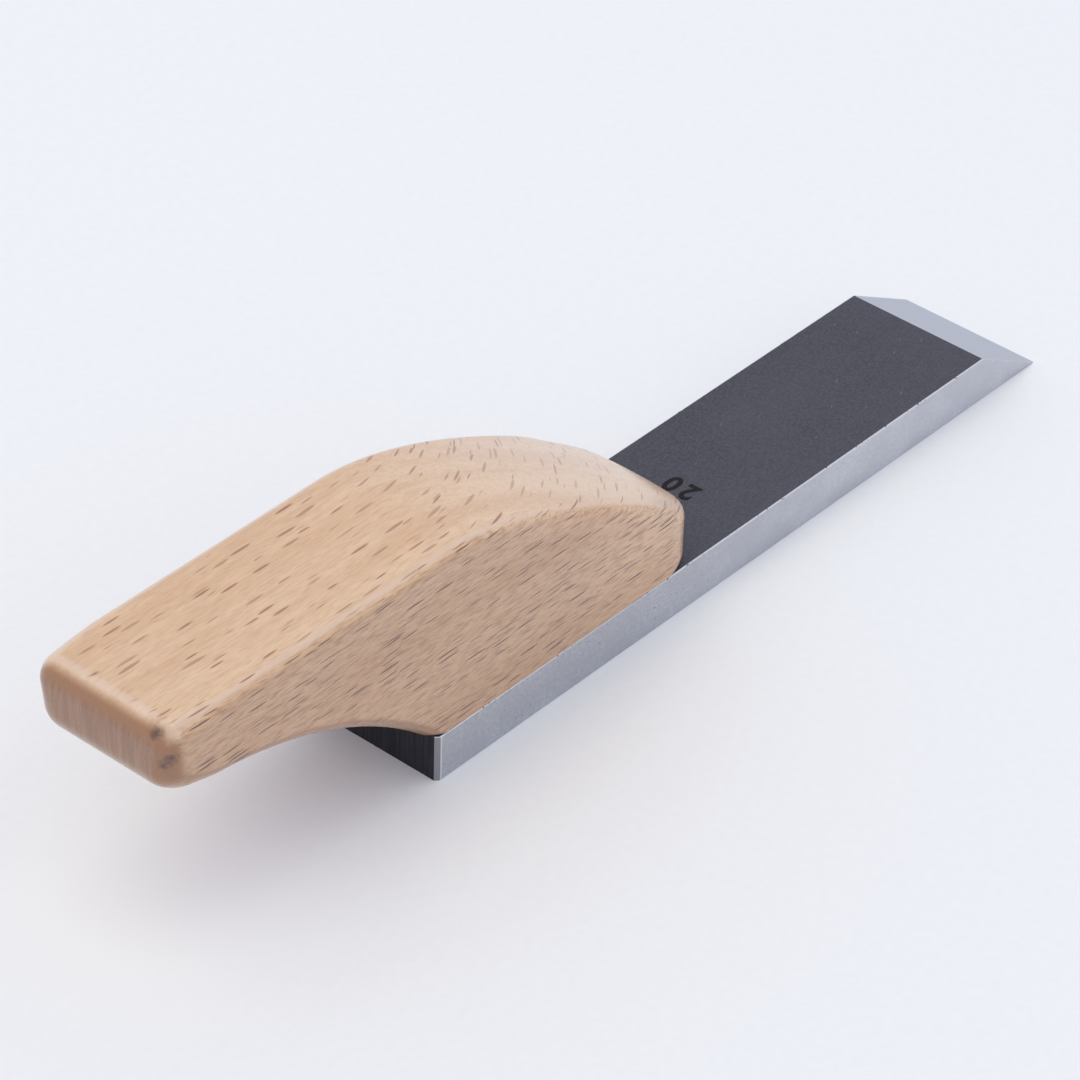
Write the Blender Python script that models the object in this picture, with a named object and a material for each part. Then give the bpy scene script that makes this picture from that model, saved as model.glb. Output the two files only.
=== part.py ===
"""Flushing chisel: a flat bevelled steel blade with a beech handle screwed on from below.

Frame: the origin is on the table under the middle of the tool, +X points to the cutting edge,
+Y to the left and +Z up. The blade's sole lies on the table. Lengths are in metres.
"""

import bmesh
import bpy
from math import acos, atan2, cos, hypot, pi, radians, sin, sqrt, tan

# Blade: a flat bar, bevelled on top at its front end
BLADE_LENGTH = 0.1095
BLADE_WIDTH = 0.020
BLADE_THICKNESS = 0.0062
BEVEL_ANGLE = radians(29.0)
REAR_CHAMFER = 0.0005

# Handle, with heights above the blade's top face and lengths from the blade's rear end
HANDLE_OVERHANG = 0.0411
HANDLE_HEIGHT = 0.0247
NOSE_REACH = 0.0446
NOSE_FACE_HEIGHT = 0.00615
NOSE_FOOT_RADIUS = 0.00215
NOSE_TOP_RADIUS = 0.0016
NOSE_CORNER_RADIUS = 0.00415
NOSE_CORNER_RUN = 0.011
FRONT_SLOPE = radians(40.0)
FRONT_PULL_AT_NOSE = 0.0072
FRONT_PULL_AT_CREST = 0.0142
FRONT_CROWN = 0.00045
CREST_REACH = 0.0017
GRIP_THICKNESS = 0.0094
REAR_TOP_RADIUS = 0.0029
REAR_FOOT_RADIUS = 0.0037
ARCH_APEX_SETBACK = 0.0016
ARCH_LANDING = 0.0004
ARCH_FOOT_RADIUS = 0.0028

# Round-overs along the handle's long edges, and where they run out above the blade
EDGE_ROUND = 0.0016
NOSE_EDGE_ROUND = 0.0009
REAR_EDGE_ROUND = 0.0036
REAR_ROUND_RUN = 0.008
NOSE_FADE_HEIGHT = 0.0020
EDGE_FADE = 0.0031

# Two countersunk socket screws, and the brass inserts that they turn into
SCREW_SETBACK = 0.0085
NOSE_SCREW_INSET = 0.0146
SCREW_RADIUS = 0.0020
SCREW_LENGTH = 0.0120
SCREW_TIP_CHAMFER = 0.0004
HEAD_RADIUS = 0.0040
HEAD_RIM = 0.0003
HEAD_RECESS = 0.0003
SOCKET_ACROSS_FLATS = 0.0025
SOCKET_DEPTH = 0.0016
INSERT_LENGTH = 0.0070
INSERT_RADIUS = 0.0030
BARB_DEPTH = 0.0004
BARB_LAND = 0.0005
BARB_COUNT = 4
INSERT_SETBACK = 0.0003

# Clearances
SEAT_GAP = 0.00005
HOLE_CLEARANCE = 0.00025
HEAD_CLEARANCE = 0.00015
INSERT_CLEARANCE = 0.00015
DRILL_RUN_OUT = 0.0012
DRILL_POINT = radians(59.0)
CUT_MARGIN = 0.001

# Facets
ROUND_SIDES = 32
ARC_STEPS = 8
ARCH_STEPS = 16
CURVE_STEPS = 20
FLAT_STEPS = 4
ROUND_OVER_STEPS = 5
ACROSS_STEPS = 6
MERGE_DISTANCE = 0.000002
SMOOTH_ANGLE = radians(30.0)

# A round-over leaves this share of the bend that it runs along, and the two rear corners
# take at most this share each of the grip's thickness
BEND_KEPT = 0.1
REAR_CORNER_SHARE = 0.45

# Worked out from the sizes above
OVERALL_LENGTH = HANDLE_OVERHANG + BLADE_LENGTH
BLADE_REAR = HANDLE_OVERHANG - OVERALL_LENGTH / 2
HALF_WIDTH = BLADE_WIDTH / 2
HANDLE_SEAT = BLADE_THICKNESS + SEAT_GAP
INSERT_SEAT = HANDLE_SEAT + INSERT_SETBACK
REAR_TOP_BEND = min(REAR_TOP_RADIUS, REAR_CORNER_SHARE * GRIP_THICKNESS)
REAR_FOOT_BEND = min(REAR_FOOT_RADIUS, REAR_CORNER_SHARE * GRIP_THICKNESS)
SCREW_PLACES = {"rear": SCREW_SETBACK, "front": NOSE_REACH - NOSE_SCREW_INSET}

STEEL = ("ground_steel", (0.30, 0.31, 0.33), 0.35, 1.0)
BEECH = ("oiled_beech", (0.62, 0.40, 0.24), 0.45, 0.0)
ZINC = ("zinc_plated_steel", (0.48, 0.48, 0.46), 0.30, 1.0)
BRASS = ("brass", (0.72, 0.52, 0.22), 0.30, 1.0)


def clear_scene():
    """Remove every object, so that the model starts from nothing."""
    for item in list(bpy.data.objects):
        bpy.data.objects.remove(item, do_unlink=True)


def make_material(name, colour, roughness, metallic):
    """Return a Principled material of one finish."""
    material = bpy.data.materials.new(name)
    material.use_nodes = True
    shader = material.node_tree.nodes["Principled BSDF"]
    shader.inputs["Base Color"].default_value = (*colour, 1.0)
    shader.inputs["Roughness"].default_value = roughness
    shader.inputs["Metallic"].default_value = metallic
    return material


def add_object(name, bm, place, parent, finish=None):
    """Turn a bmesh into an object of this name, at a place, under a parent."""
    bmesh.ops.recalc_face_normals(bm, faces=bm.faces)
    mesh = bpy.data.meshes.new(name)
    bm.to_mesh(mesh)
    bm.free()
    mesh.shade_smooth()
    mesh.set_sharp_from_angle(angle=SMOOTH_ANGLE)
    item = bpy.data.objects.new(name, mesh)
    item.location = place
    item.parent = parent
    bpy.context.scene.collection.objects.link(item)
    if finish:
        mesh.materials.append(make_material(*finish))
    return item


def add_cutter(name, bm, place, target):
    """Cut a shape out of the target, and keep the shape as a hidden guide."""
    cutter = add_object(name, bm, place, target.parent)
    cutter.hide_render = True
    cutter.display_type = "WIRE"
    cut = target.modifiers.new(name, "BOOLEAN")
    cut.operation = "DIFFERENCE"
    cut.solver = "EXACT"
    cut.object = cutter


def turned(profile, sides=ROUND_SIDES):
    """Spin (radius, height) points about Z into a closed body."""
    bm = bmesh.new()
    points = [bm.verts.new((radius, 0.0, height)) for radius, height in profile]
    edges = [bm.edges.new(pair) for pair in zip(points, points[1:])]
    bmesh.ops.spin(bm, geom=points + edges, cent=(0, 0, 0), axis=(0, 0, 1), angle=2 * pi, steps=sides)
    bmesh.ops.remove_doubles(bm, verts=bm.verts, dist=MERGE_DISTANCE)
    return bm


def smooth_step(share):
    """Ease from 0 to 1 as share goes from 0 to 1."""
    share = min(max(share, 0.0), 1.0)
    return share * share * (3.0 - 2.0 * share)


def spread(start, end, steps):
    """Return steps + 1 even values from start to end."""
    return [start + (end - start) * index / steps for index in range(steps + 1)]


def arc(centre, radius, start, end, steps=ARC_STEPS, hollow=False):
    """Return stations (point, outward normal, bend radius) along an arc; a hollow arc faces its centre."""
    stations = []
    for angle in spread(start, end, steps):
        out = (cos(angle), sin(angle))
        point = (centre[0] + radius * out[0], centre[1] + radius * out[1])
        normal = (-out[0], -out[1]) if hollow else out
        stations.append((point, normal, None if hollow else radius))
    return stations


def front_curve(start, end):
    """Return stations along the sweep from the nose's top corner to the flat top."""
    away = (-cos(FRONT_SLOPE), sin(FRONT_SLOPE))
    near = (start[0] + FRONT_PULL_AT_NOSE * away[0], start[1] + FRONT_PULL_AT_NOSE * away[1])
    far = (end[0] + FRONT_PULL_AT_CREST, end[1])
    stations = []
    for t in spread(0.0, 1.0, CURVE_STEPS)[1:]:
        s = 1.0 - t
        point = tuple(
            s**3 * a + 3 * s * s * t * b + 3 * s * t * t * c + t**3 * d
            for a, b, c, d in zip(start, near, far, end)
        )
        run = tuple(
            s * s * (b - a) + 2 * s * t * (c - b) + t * t * (d - c)
            for a, b, c, d in zip(start, near, far, end)
        )
        length = hypot(*run)
        stations.append((point, (run[1] / length, -run[0] / length), None))
    return stations


def handle_outline():
    """Return the handle's side outline as stations, from the contact's rear end round by the nose."""
    arch_rise = HANDLE_HEIGHT - GRIP_THICKNESS
    arch_run = HANDLE_OVERHANG - ARCH_APEX_SETBACK + ARCH_LANDING
    arch_radius = (arch_run**2 + arch_rise**2) / (2 * arch_rise) - ARCH_FOOT_RADIUS
    arch_centre = (ARCH_APEX_SETBACK - HANDLE_OVERHANG, arch_rise - arch_radius)

    foot_centre = (ARCH_LANDING, ARCH_FOOT_RADIUS)
    foot_angle = atan2(foot_centre[1] - arch_centre[1], foot_centre[0] - arch_centre[0])
    heel_x = REAR_FOOT_BEND - HANDLE_OVERHANG
    heel_angle = acos((heel_x - arch_centre[0]) / (arch_radius + REAR_FOOT_BEND))
    heel_centre = (heel_x, arch_centre[1] + (arch_radius + REAR_FOOT_BEND) * sin(heel_angle))

    nose_foot = (NOSE_REACH - NOSE_FOOT_RADIUS, NOSE_FOOT_RADIUS)
    nose_top = (NOSE_REACH - NOSE_TOP_RADIUS, NOSE_FACE_HEIGHT)
    rear_top = (REAR_TOP_BEND - HANDLE_OVERHANG, HANDLE_HEIGHT - REAR_TOP_BEND)
    crest = (CREST_REACH, HANDLE_HEIGHT)

    square = ARCH_LANDING + EDGE_FADE / 2
    contact = spread(ARCH_LANDING, square, FLAT_STEPS)[1:] + spread(square, nose_foot[0], FLAT_STEPS)[1:-1]
    outline = [((x, 0.0), (0.0, -1.0), None) for x in contact]
    outline += arc(nose_foot, NOSE_FOOT_RADIUS, -pi / 2, 0.0)
    outline += arc(nose_top, NOSE_TOP_RADIUS, 0.0, pi / 2 - FRONT_SLOPE)
    outline += front_curve(outline[-1][0], crest)
    for x in spread(crest[0], rear_top[0], FLAT_STEPS)[1:-1]:
        outline.append(((x, HANDLE_HEIGHT), (0.0, 1.0), None))
    outline += arc(rear_top, REAR_TOP_BEND, pi / 2, pi)
    outline += arc(heel_centre, REAR_FOOT_BEND, pi, pi + heel_angle)
    outline += arc(arch_centre, arch_radius, heel_angle, foot_angle, ARCH_STEPS, hollow=True)[1:]
    outline += arc(foot_centre, ARCH_FOOT_RADIUS, pi + foot_angle, 3 * pi / 2)[1:]
    return outline


def nose_share(x):
    """Return how much of the nose's shape there is at a reach, from 0 to 1 at the nose's tip."""
    return smooth_step((x - NOSE_REACH) / NOSE_CORNER_RUN + 1.0)


def corner_setback(x, y):
    """Return how far the nose's rounded corners stand back at a place across the handle."""
    past = max(abs(y) - HALF_WIDTH + NOSE_CORNER_RADIUS, 0.0)
    return nose_share(x) * (NOSE_CORNER_RADIUS - sqrt(max(NOSE_CORNER_RADIUS**2 - past**2, 0.0)))


def edge_shape(point, bend):
    """Return the round-over's radius and the crown's height at a station of the outline."""
    x, height = point
    crown = FRONT_CROWN * smooth_step((x - CREST_REACH) / (NOSE_REACH - NOSE_TOP_RADIUS - CREST_REACH))
    radius = EDGE_ROUND + (NOSE_EDGE_ROUND - EDGE_ROUND) * nose_share(x)
    radius += (REAR_EDGE_ROUND - EDGE_ROUND) * smooth_step(1.0 - (x + HANDLE_OVERHANG) / REAR_ROUND_RUN)
    if bend:
        radius = min(radius, bend * (1.0 - BEND_KEPT) - crown)
    fade = 1.0
    if x > ARCH_LANDING + EDGE_FADE:
        fade = smooth_step(height / NOSE_FADE_HEIGHT)
    elif height < ARCH_FOOT_RADIUS:
        fade = smooth_step((ARCH_LANDING - x) / EDGE_FADE + 0.5)
    return radius * fade, crown * fade


def half_section(radius, crown):
    """Return (depth, half width) points from the handle's middle to its side."""
    lean = atan2(2 * crown, HALF_WIDTH - radius)
    edge = HALF_WIDTH - radius + radius * sin(lean)
    points = []
    for turn in spread(0.0, pi / 2, ACROSS_STEPS)[:-1]:
        points.append((crown * sin(turn) ** 2, edge * sin(turn)))
    for angle in spread(lean, pi / 2, ROUND_OVER_STEPS):
        depth = crown + radius * (cos(lean) - cos(angle))
        points.append((depth, HALF_WIDTH - radius + radius * sin(angle)))
    return points


def make_handle(parent):
    """Loft the handle's crowned section round its outline, with the nose's corners set back."""
    bm = bmesh.new()
    rings = []
    for point, normal, bend in handle_outline():
        half = half_section(*edge_shape(point, bend))
        across = [(depth, -width) for depth, width in reversed(half[1:])] + half
        ring = []
        for depth, y in across:
            x = point[0] - depth * normal[0] - corner_setback(point[0], y)
            ring.append(bm.verts.new((x, y, point[1] - depth * normal[1])))
        rings.append(ring)
    for ring, following in zip(rings, rings[1:] + rings[:1]):
        for index in range(len(ring) - 1):
            bm.faces.new((ring[index], ring[index + 1], following[index + 1], following[index]))
    bm.faces.new([ring[0] for ring in rings])
    bm.faces.new([ring[-1] for ring in rings])
    bmesh.ops.remove_doubles(bm, verts=bm.verts, dist=MERGE_DISTANCE)
    place = (BLADE_REAR, 0.0, HANDLE_SEAT)
    handle = add_object("handle", bm, place, parent, BEECH)

    radius = INSERT_RADIUS + INSERT_CLEARANCE
    depth = max(INSERT_SETBACK + INSERT_LENGTH, screw_reach()) + DRILL_RUN_OUT
    drill = [(0.0, depth + radius / tan(DRILL_POINT)), (radius, depth), (radius, -CUT_MARGIN), (0.0, -CUT_MARGIN)]
    for label, reach in SCREW_PLACES.items():
        add_cutter("insert_hole_" + label, turned(drill), (BLADE_REAR + reach, 0.0, HANDLE_SEAT), handle)
    return handle


def screw_reach():
    """Return how far the screw's tip stands above the handle's seat."""
    return HEAD_RECESS + SCREW_LENGTH - HANDLE_SEAT


def make_blade(parent):
    """Extrude the bar's side outline across its width, chamfer its rear and drill it."""
    bevel_run = BLADE_THICKNESS / tan(BEVEL_ANGLE)
    outline = [
        (0.0, 0.0),
        (BLADE_LENGTH, 0.0),
        (BLADE_LENGTH - bevel_run, BLADE_THICKNESS),
        (0.0, BLADE_THICKNESS),
    ]
    bm = bmesh.new()
    side = bm.faces.new([bm.verts.new((x, -HALF_WIDTH, z)) for x, z in outline])
    pulled = bmesh.ops.extrude_face_region(bm, geom=[side])
    moved = [item for item in pulled["geom"] if isinstance(item, bmesh.types.BMVert)]
    bmesh.ops.translate(bm, verts=moved, vec=(0.0, BLADE_WIDTH, 0.0))
    upright = []
    for edge in bm.edges:
        start, end = (vert.co for vert in edge.verts)
        if start.x == 0.0 and end.x == 0.0 and start.y == end.y:
            upright.append(edge)
    bmesh.ops.bevel(bm, geom=upright, offset=REAR_CHAMFER, segments=1, profile=0.5, affect="EDGES")
    blade = add_object("blade", bm, (BLADE_REAR, 0.0, 0.0), parent, STEEL)

    mouth = HEAD_RADIUS + HEAD_CLEARANCE
    bore = SCREW_RADIUS + HOLE_CLEARANCE
    rim_top = HEAD_RECESS + HEAD_RIM
    drill = [
        (0.0, BLADE_THICKNESS + CUT_MARGIN),
        (bore, BLADE_THICKNESS + CUT_MARGIN),
        (bore, rim_top + mouth - bore),
        (mouth, rim_top),
        (mouth, -CUT_MARGIN),
        (0.0, -CUT_MARGIN),
    ]
    for label, reach in SCREW_PLACES.items():
        add_cutter("screw_hole_" + label, turned(drill), (BLADE_REAR + reach, 0.0, 0.0), blade)
    return blade


def make_screw(label, reach, parent):
    """Turn one countersunk screw, head down, and cut its hexagon socket."""
    cone_top = HEAD_RIM + HEAD_RADIUS - SCREW_RADIUS
    profile = [
        (0.0, SCREW_LENGTH),
        (SCREW_RADIUS - SCREW_TIP_CHAMFER, SCREW_LENGTH),
        (SCREW_RADIUS, SCREW_LENGTH - SCREW_TIP_CHAMFER),
        (SCREW_RADIUS, cone_top),
        (HEAD_RADIUS, HEAD_RIM),
        (HEAD_RADIUS, 0.0),
        (0.0, 0.0),
    ]
    place = (BLADE_REAR + reach, 0.0, HEAD_RECESS)
    screw = add_object("handle_screw_" + label, turned(profile), place, parent, ZINC)
    corner = SOCKET_ACROSS_FLATS / sqrt(3.0)
    socket = [(0.0, SOCKET_DEPTH), (corner, SOCKET_DEPTH), (corner, -CUT_MARGIN), (0.0, -CUT_MARGIN)]
    add_cutter("socket_" + label, turned(socket, 6), place, screw)


def make_insert(label, reach, parent):
    """Turn one barbed brass insert with an open bore."""
    bore = SCREW_RADIUS + INSERT_CLEARANCE
    root = INSERT_RADIUS - BARB_DEPTH
    pitch = INSERT_LENGTH / BARB_COUNT
    profile = [(bore, INSERT_LENGTH)]
    for index in range(BARB_COUNT):
        top = INSERT_LENGTH - index * pitch
        profile.append((root, top))
        profile.append((INSERT_RADIUS, top - pitch + BARB_LAND))
        profile.append((INSERT_RADIUS, top - pitch))
    profile.append((bore, 0.0))
    profile.append(profile[0])
    place = (BLADE_REAR + reach, 0.0, INSERT_SEAT)
    add_object("threaded_insert_" + label, turned(profile), place, parent, BRASS)


def main():
    """Build the chisel under one empty."""
    clear_scene()
    tool = bpy.data.objects.new("flushing_chisel", None)
    bpy.context.scene.collection.objects.link(tool)
    make_blade(tool)
    make_handle(tool)
    for label, reach in SCREW_PLACES.items():
        make_screw(label, reach, tool)
        make_insert(label, reach, tool)


main()
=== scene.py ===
"""Flushing chisel: beech handle, bevelled steel blade, size mark, screws and inserts, on a pale floor.

Lengths are in metres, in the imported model's frame: +X points to the cutting edge, +Y to the left
and +Z up from the sole, which lies on the floor.
"""

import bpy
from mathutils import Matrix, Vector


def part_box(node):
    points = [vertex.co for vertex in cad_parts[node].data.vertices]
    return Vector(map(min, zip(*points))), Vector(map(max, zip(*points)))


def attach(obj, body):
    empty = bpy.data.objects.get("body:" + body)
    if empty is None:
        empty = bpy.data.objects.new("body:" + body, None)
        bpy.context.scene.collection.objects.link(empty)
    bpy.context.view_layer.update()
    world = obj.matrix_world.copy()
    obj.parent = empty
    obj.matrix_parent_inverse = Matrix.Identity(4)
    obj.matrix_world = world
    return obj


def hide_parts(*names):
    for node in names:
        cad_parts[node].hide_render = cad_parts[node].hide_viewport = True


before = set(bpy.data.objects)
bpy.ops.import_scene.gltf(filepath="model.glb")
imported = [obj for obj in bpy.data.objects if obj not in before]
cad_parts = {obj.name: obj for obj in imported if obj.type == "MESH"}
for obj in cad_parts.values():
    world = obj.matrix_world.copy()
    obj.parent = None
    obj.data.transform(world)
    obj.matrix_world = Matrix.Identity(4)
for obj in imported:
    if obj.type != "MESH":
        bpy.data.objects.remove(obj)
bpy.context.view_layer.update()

from math import acos, atan2, cos, hypot, pi, radians, sin, sqrt

import bmesh
import bpy
from bpy.props import FloatProperty, FloatVectorProperty, PointerProperty, StringProperty
from mathutils import Quaternion, Vector

bl_info = {
    "name": "Flushing chisel",
    "version": (1, 0, 0),
    "blender": (4, 5, 0),
    "location": "View3D > Sidebar > Chisel",
    "description": "Models a flushing chisel with a beech handle around its packed frame",
    "category": "Object",
}

# Sizes that the frame gives
BLADE_LOW, BLADE_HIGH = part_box("blade")
HANDLE_LOW, HANDLE_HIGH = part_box("handle")
BLADE_REAR = BLADE_LOW.x
BLADE_TOP = BLADE_HIGH.z
HALF_WIDTH = (HANDLE_HIGH.y - HANDLE_LOW.y) / 2
HANDLE_SEAT = HANDLE_LOW.z
HANDLE_HEIGHT = HANDLE_HIGH.z - HANDLE_LOW.z
HANDLE_OVERHANG = BLADE_REAR - HANDLE_LOW.x
NOSE_REACH = HANDLE_HIGH.x - BLADE_REAR
SCREW_LABELS = ("rear", "front")

# Dark spots in the wood at the rear right corner: middle and radius
BLEMISHES = (
    ((-0.0745, -0.0076, 0.0300), 0.0008),
    ((-0.0747, -0.0088, 0.0266), 0.0007),
    ((-0.0742, -0.0094, 0.0274), 0.0008),
)

# Facets of the finished meshes
ARC_STEPS = 14
ARCH_STEPS = 44
CURVE_STEPS = 60
FLAT_STEPS = 14
ROUND_OVER_STEPS = 12
ACROSS_STEPS = 12
ROUND_SIDES = 64
THREAD_RINGS = 10
BARBS = 4

# Shading angles, and the part of a normal that counts as square on
SMOOTH_ANGLE = radians(32.0)
CRISP_ANGLE = radians(12.0)
SQUARE_ON = 0.99

# Shares and allowances of the shapes
MERGE_DISTANCE = 0.000002
CUT_MARGIN = 0.001
BEND_KEPT = 0.1
HOLDING_RING = 0.00015
DRILL_TIP = 1 / 8
HOLE_TIP_RISE = 1 / 2
SOCKET_TIP_RISE = 1 / 3

# Patterns of the finishes: one swell of a noise, or the cell and half sizes of scattered spots
GRAIN_SWAY = (0.03, 0.02, 0.02)
GRAIN_WANDER = (0.0, 0.0012, 0.0008)
GROWTH_RINGS = (0.15, 0.0042, 0.03)
STREAKS = (0.012, 0.0006, 0.0006)
FIBRES = (0.0018, 0.00019, 0.00019)
RAY_CELL = (0.0046, 0.0046, 0.0006)
RAY_HALF = (0.0017, 0.0023, 0.0001)
END_LAYERS = (0.02, 0.0005, 0.006)
STAIN_BLOTS = (0.0006, 0.0006, 0.0006)
GRINDING = (0.02, 0.00007, 0.00007)
STEEL_MOTTLE = (0.006, 0.004, 0.004)
STEEL_SPECKLE = (0.0006, 0.0004, 0.0004)
PIT_CELL = (0.0014, 0.03, 0.0011)
PIT_HALF = (0.00017, 0.3, 0.00011)
PIT_PATCHES = (0.01, 0.01, 0.01)
RIM_NICKS = (0.0005, 0.0004, 0.0004)
OXIDE_SPECKLE = (0.0003, 0.0003, 0.0003)
OXIDE_CLOUD = (0.02, 0.012, 0.012)
SCUFF_CELL = (0.004, 0.004, 0.02)
SCUFF_HALF = (0.0005, 0.0001, 0.02)
END_LINES = (0.02, 0.0002, 0.008)
MARK_SPECKLE = (0.0002, 0.0002, 0.0002)
ZINC_CLOUD = (0.0012, 0.0012, 0.0012)
TOOL_LINES = (0.004, 0.004, 0.00006)
PAPER_TOOTH = (0.0012, 0.0012, 0.0012)

# Scattered spots: the largest one's size and the faintest one's depth, as shares
LARGEST_SPOT = 1.25
FAINTEST_SPOT = 0.55

# Painted light on the handle's sides: round the nose's corner, and its depth and run under the front
# ridge
NOSE_LIGHT = (0.025, 1.0, 0.019)
SHOULDER_DEPTH = (0.0056, 0.0030)
SHOULDER_RUN = (0.004, 0.020)

# Where the pits, the coarser speckle and the painted shade on the rear half set in along the blade
PITTED_RUN = (0.02, -0.005)
COARSE_RUN = (0.02, -0.01)
SHADED_RUN = (0.05, 0.0)

# Heights of the finishes' relief
FIBRE_RELIEF = 0.000012
GRINDING_RELIEF = 0.0000015
OXIDE_RELIEF = 0.000004
TOOL_RELIEF = 0.000003

# Width of the camera's frame in mm
FRAME_WIDTH = 36.0


def size(name, description, default):
    """A length that a user may change."""
    return FloatProperty(
        name=name, description=description, default=default, min=0.0, precision=5, unit="LENGTH"
    )


def turn(name, description, default):
    """An angle that a user may change."""
    return FloatProperty(name=name, description=description, default=default, subtype="ANGLE")


def share(name, description, default, highest=1.0):
    """A plain number that a user may change."""
    return FloatProperty(name=name, description=description, default=default, min=0.0, max=highest)


def colour(name, description, default):
    """A colour that a user may change."""
    return FloatVectorProperty(
        name=name, description=description, default=default, size=3, min=0.0, max=1.0, subtype="COLOR"
    )


def place(name, description, default):
    """A point that a user may move."""
    return FloatVectorProperty(
        name=name, description=description, default=default, subtype="TRANSLATION", unit="LENGTH"
    )


class HandleSettings(bpy.types.PropertyGroup):
    """Shape and finish of the beech handle.

    Heights are above its seat, and reaches are from the blade's rear end.
    """

    nose_face_height: size("Nose face", "Height of the nose's upright face", 0.00615)
    nose_foot_radius: size("Nose foot", "Radius under the nose", 0.00215)
    nose_top_radius: size("Nose top", "Radius from the nose to the front slope", 0.0016)
    nose_corner_radius: size("Nose corner", "Radius of the nose's upright corners", 0.00415)
    nose_corner_run: size("Nose corner run", "Length over which the nose's corners draw in", 0.011)
    front_slope: turn("Front slope", "Steepness of the slope at the nose", radians(40.0))
    front_pull_at_nose: size("Pull at nose", "How far the slope runs straight from the nose", 0.0072)
    front_pull_at_crest: size("Pull at crest", "How far the slope levels out before the crest", 0.0142)
    front_crown: size("Front crown", "Rise of the front slope across its width", 0.00045)
    crest_reach: size("Crest", "Where the slope meets the flat top", 0.0017)
    grip_thickness: size("Grip thickness", "Thickness of the grip over the arch", 0.0094)
    rear_top_radius: size("Rear top", "Radius of the grip's upper rear edge", 0.0029)
    rear_foot_radius: size("Rear foot", "Radius of the grip's lower rear edge", 0.0037)
    arch_apex_setback: size("Arch apex", "From the rear end to where the arch levels", 0.0016)
    arch_landing: size("Arch landing", "Where the arch's foot lands on the blade", 0.0004)
    arch_foot_radius: size("Arch foot", "Radius at the arch's foot", 0.0028)
    edge_round: size("Edge round", "Radius of the rounded long edges", 0.0016)
    nose_edge_round: size("Nose edge round", "Radius of the rounded edges at the nose", 0.0009)
    rear_edge_round: size("Rear edge round", "Radius of the two upright rear corners", 0.0036)
    rear_round_run: size("Rear round run", "Length over which edges grow to the rear corners", 0.008)
    nose_fade_height: size("Nose fade", "Height over which the nose's shape runs out", 0.0020)
    edge_fade: size("Edge fade", "Length over which the arch's rounding fades", 0.0031)
    hole_radius: size("Insert hole", "Radius of the holes for the inserts", 0.00315)
    hole_depth: size("Hole depth", "Depth of the holes for the inserts", 0.0085)
    ray_tilt: turn("Ray tilt", "Turn of the wood's rays about its length", radians(27.0))
    pale: colour("Pale beech", "Lightest tone of the wood", (0.73, 0.50, 0.325))
    warm: colour("Warm beech", "Deeper tone between the growth rings", (0.64, 0.40, 0.235))
    # Painted shade: upright faces are darker than the top.
    side_shade: colour("Side tint", "What upright faces keep of the wood's tone", (0.855, 0.785, 0.738))
    # Painted light: upright faces round the nose and under the front ridge are less dark.
    lit_side_tint: colour("Nose tint", "What worn sides keep of the wood's tone", (1.0, 0.94, 0.89))
    # Painted highlight: the pale tone of the upper rounded edges.
    wear_and_highlight: colour("Rubbed edge", "Tone of the upper edges, worn pale", (0.71, 0.56, 0.48))
    # This tone also paints shade: along the seat, under the arch's lower edge and on the rounded ends and
    # rear corners.
    soaked_and_shade: colour("Soaked edge", "Tone of cut edges, which take up most oil", (0.31, 0.14, 0.058))
    end_grain: colour("End grain", "Tone of the flat cut end", (0.265, 0.118, 0.055))
    fleck: colour("Ray fleck", "Tone of the small dashes on the top", (0.27, 0.075, 0.025))
    side_fleck: colour("Side fleck", "Tone of the thin dashes on the sides", (0.10, 0.028, 0.02))
    blemish: colour("Blemish", "Tone of the dark spots", (0.09, 0.033, 0.02))


class BladeSettings(bpy.types.PropertyGroup):
    """Shape and finish of the blade and its size mark."""

    bevel_angle: turn("Bevel", "Angle of the bevel to the sole", radians(29.0))
    rear_chamfer: size("Rear chamfer", "Chamfer of the two upright rear corners", 0.0005)
    edge_break: size("Edge break", "Width of the broken edges", 0.00014)
    mouth_radius: size("Countersink", "Radius of the countersunk holes at the sole", 0.00415)
    mouth_depth: size("Countersink rim", "Straight depth of the countersunk holes", 0.0006)
    bore_radius: size("Bore", "Radius of the screw holes", 0.00225)
    oxide: colour("Oxide", "Tone of the dark top face", (0.050, 0.050, 0.068))
    ground: colour("Ground steel", "Tone of the ground faces", (0.69, 0.70, 0.77))
    honed: colour("Honed steel", "Tone of the bevel", (0.43, 0.458, 0.555))
    # Painted shade: the sides' rear half under the handle is darker.
    rear_shade: colour("Rear tint", "What the sides' rear half keeps of the tone", (0.88, 0.89, 0.89))
    # Painted shade: a darker copy of the ground steel for the rear chamfers.
    chamfer_shade: colour("Cut corner", "Tone of the rear chamfers", (0.29, 0.29, 0.31))
    # Worn bright, and partly a painted highlight, on the upper rim and beside the rear chamfers.
    wear_and_highlight: colour("Rubbed steel", "Tone of the worn edges", (0.80, 0.81, 0.84))
    scuff: colour("Scuff", "Tone of the scuffs", (0.24, 0.25, 0.29))
    scuff_slant: turn("Scuff slant", "Turn of the scuffs' pattern", radians(-25.0))
    mark: StringProperty(name="Size mark", description="Blade width in millimetres", default="20")
    mark_height: size("Mark height", "Height of the digits", 0.0032)
    mark_width: size("Mark width", "Width of both digits", 0.0043)
    mark_spacing: share("Mark spacing", "Step from digit to digit, as a share", 1.35, 10.0)
    mark_reach: size("Mark reach", "From the nose to the middle of the digits", 0.0086)
    mark_weight: size("Mark weight", "How far the digits' strokes are widened", 0.0001)
    mark_film: size("Mark film", "How far the mark stands proud of the steel", 0.000012)
    mark_tone: colour("Mark tone", "Tone of the mark", (0.016, 0.016, 0.018))


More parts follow.
